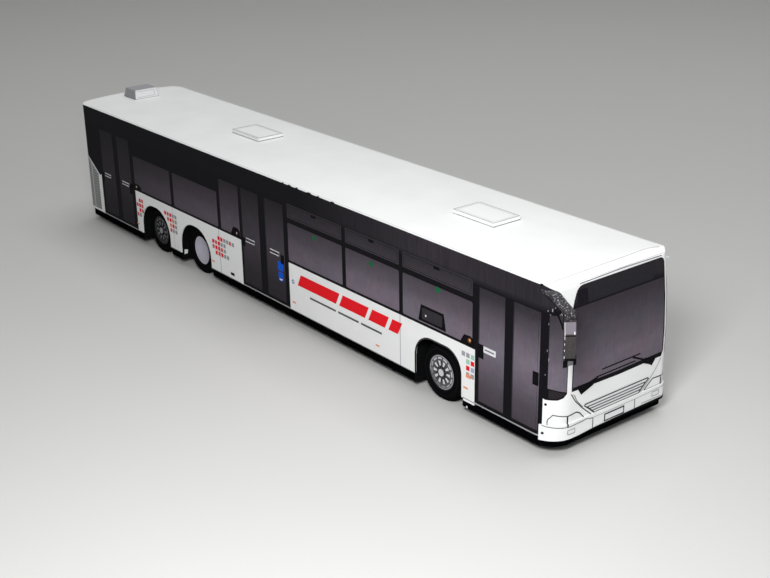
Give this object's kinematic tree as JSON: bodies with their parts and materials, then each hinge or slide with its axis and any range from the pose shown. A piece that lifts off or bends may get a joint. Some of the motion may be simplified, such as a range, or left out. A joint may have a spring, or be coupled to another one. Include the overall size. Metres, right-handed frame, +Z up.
{
  "type": "card model bus",
  "caption": "Printed card scale model of a long low-floor city bus on rolling axles, with a wrap-round nose, roof hatches, a roof vent and card mirrors.",
  "frame": {"origin": "middle of the overall box, on the surface that the wheels stand on", "axes": "+X towards the front of the bus, +Y to its left, +Z up"},
  "size_m": [0.1772, 0.0334, 0.0345],
  "materials": {
    "side_card": "printed, satin",
    "roof_card": "matt",
    "hatch_card": "matt",
    "vent_card": "printed, matt",
    "nose_card": "printed, satin",
    "bumper_card": "printed, satin",
    "tail_card": "printed, satin",
    "skirt_card": "printed black",
    "well_card": "printed dark grey",
    "tyre_card": "printed dark grey",
    "hub_card": "printed",
    "dish_card": "printed",
    "axle_wire": "drawn wire",
    "arm_card": "printed black",
    "mirror_card": "printed dark grey"
  },
  "bodies": {
    "bus": {"side_panel_right": "side_card", "side_panel_left": "side_card", "roof_panel": "roof_card", "roof_hatch_front": "hatch_card", "roof_hatch_middle": "hatch_card", "roof_vent": "vent_card", "nose_shell": "nose_card", "bumper_front": "bumper_card", "tail_shell": "tail_card", "skirt_right": "skirt_card", "skirt_left": "skirt_card", "skirt_front": "skirt_card", "skirt_rear": "skirt_card", "floor_plate": "skirt_card", "wheel_well_front_right": "well_card", "wheel_well_front_left": "well_card", "wheel_well_drive_right": "well_card", "wheel_well_drive_left": "well_card", "wheel_well_tag_right": "well_card", "wheel_well_tag_left": "well_card", "mirror_arm_right": "arm_card", "mirror_housing_right": "mirror_card", "mirror_arm_left": "arm_card", "mirror_housing_left": "mirror_card"},
    "front_wheels": {"tyre_front_right": "tyre_card", "hub_front_right": "hub_card", "tyre_front_left": "tyre_card", "hub_front_left": "hub_card", "axle_front": "axle_wire"},
    "drive_wheels": {"tyre_drive_right": "tyre_card", "hub_drive_right": "dish_card", "tyre_drive_left": "tyre_card", "hub_drive_left": "dish_card", "axle_drive": "axle_wire", "tyre_drive_inner_right": "tyre_card", "tyre_drive_inner_left": "tyre_card"},
    "tag_wheels": {"tyre_tag_right": "tyre_card", "hub_tag_right": "hub_card", "tyre_tag_left": "tyre_card", "hub_tag_left": "hub_card", "axle_tag": "axle_wire"}
  },
  "joints": [
    {"name": "front_axle_spin", "type": "hinge", "parent": "bus", "child": "front_wheels", "pos_m": [0.0538, 0, 0.0056], "axis": [0, 1, 0], "continuous": true},
    {"name": "drive_axle_spin", "type": "hinge", "parent": "bus", "child": "drive_wheels", "pos_m": [-0.0332, 0, 0.0056], "axis": [0, 1, 0], "continuous": true},
    {"name": "tag_axle_spin", "type": "hinge", "parent": "bus", "child": "tag_wheels", "pos_m": [-0.0523, 0, 0.0056], "axis": [0, 1, 0], "continuous": true}
  ]
}
